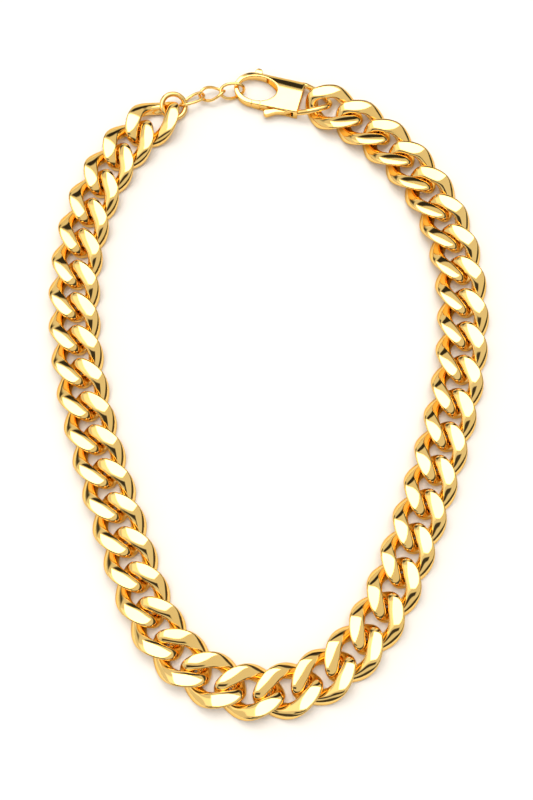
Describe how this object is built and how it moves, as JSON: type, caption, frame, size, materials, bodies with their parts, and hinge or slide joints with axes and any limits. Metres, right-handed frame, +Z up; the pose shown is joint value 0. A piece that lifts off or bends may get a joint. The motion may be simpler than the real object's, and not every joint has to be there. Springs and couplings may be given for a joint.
{
  "type": "curb chain necklace",
  "caption": "Heavy polished curb chain lying in a closed egg-shaped loop, with twisted flat oval links, a rectangular trigger clasp, a short fine extender and a round end ring.",
  "frame": {"origin": "middle of the base of the whole necklace's bounding box, on the surface it lies on", "axes": "+Z up, +Y from the loop's round front towards the clasp, +X to the right seen from above with the clasp at the top"},
  "size_m": [0.1246, 0.1916, 0.0053],
  "materials": {
    "gold": "polished yellow gold colour"
  },
  "bodies": {
    "necklace": {"curb_link_01": "gold", "curb_link_02": "gold", "curb_link_03": "gold", "curb_link_04": "gold", "curb_link_05": "gold", "curb_link_06": "gold", "curb_link_07": "gold", "curb_link_08": "gold", "curb_link_09": "gold", "curb_link_10": "gold", "curb_link_11": "gold", "curb_link_12": "gold", "curb_link_13": "gold", "curb_link_14": "gold", "curb_link_15": "gold", "curb_link_16": "gold", "curb_link_17": "gold", "curb_link_18": "gold", "curb_link_19": "gold", "curb_link_20": "gold", "curb_link_21": "gold", "curb_link_22": "gold", "curb_link_23": "gold", "curb_link_24": "gold", "curb_link_25": "gold", "curb_link_26": "gold", "curb_link_27": "gold", "curb_link_28": "gold", "curb_link_29": "gold", "curb_link_30": "gold", "curb_link_31": "gold", "curb_link_32": "gold", "curb_link_33": "gold", "curb_link_34": "gold", "curb_link_35": "gold", "curb_link_36": "gold", "curb_link_37": "gold", "curb_link_38": "gold", "curb_link_39": "gold", "curb_link_40": "gold", "curb_link_41": "gold", "end_ring": "gold", "extender_link_1": "gold", "extender_link_2": "gold", "extender_link_3": "gold", "clasp_body": "gold"},
    "lever": {"clasp_lever": "gold"}
  },
  "joints": [
    {"name": "lever_hinge", "type": "hinge", "parent": "necklace", "child": "lever", "pos_m": [0.00653, 0.08193, 0.0021], "axis": [0, 0, -1], "range_deg": [0, 12], "stiffness_Nm_per_rad": 0.01}
  ]
}
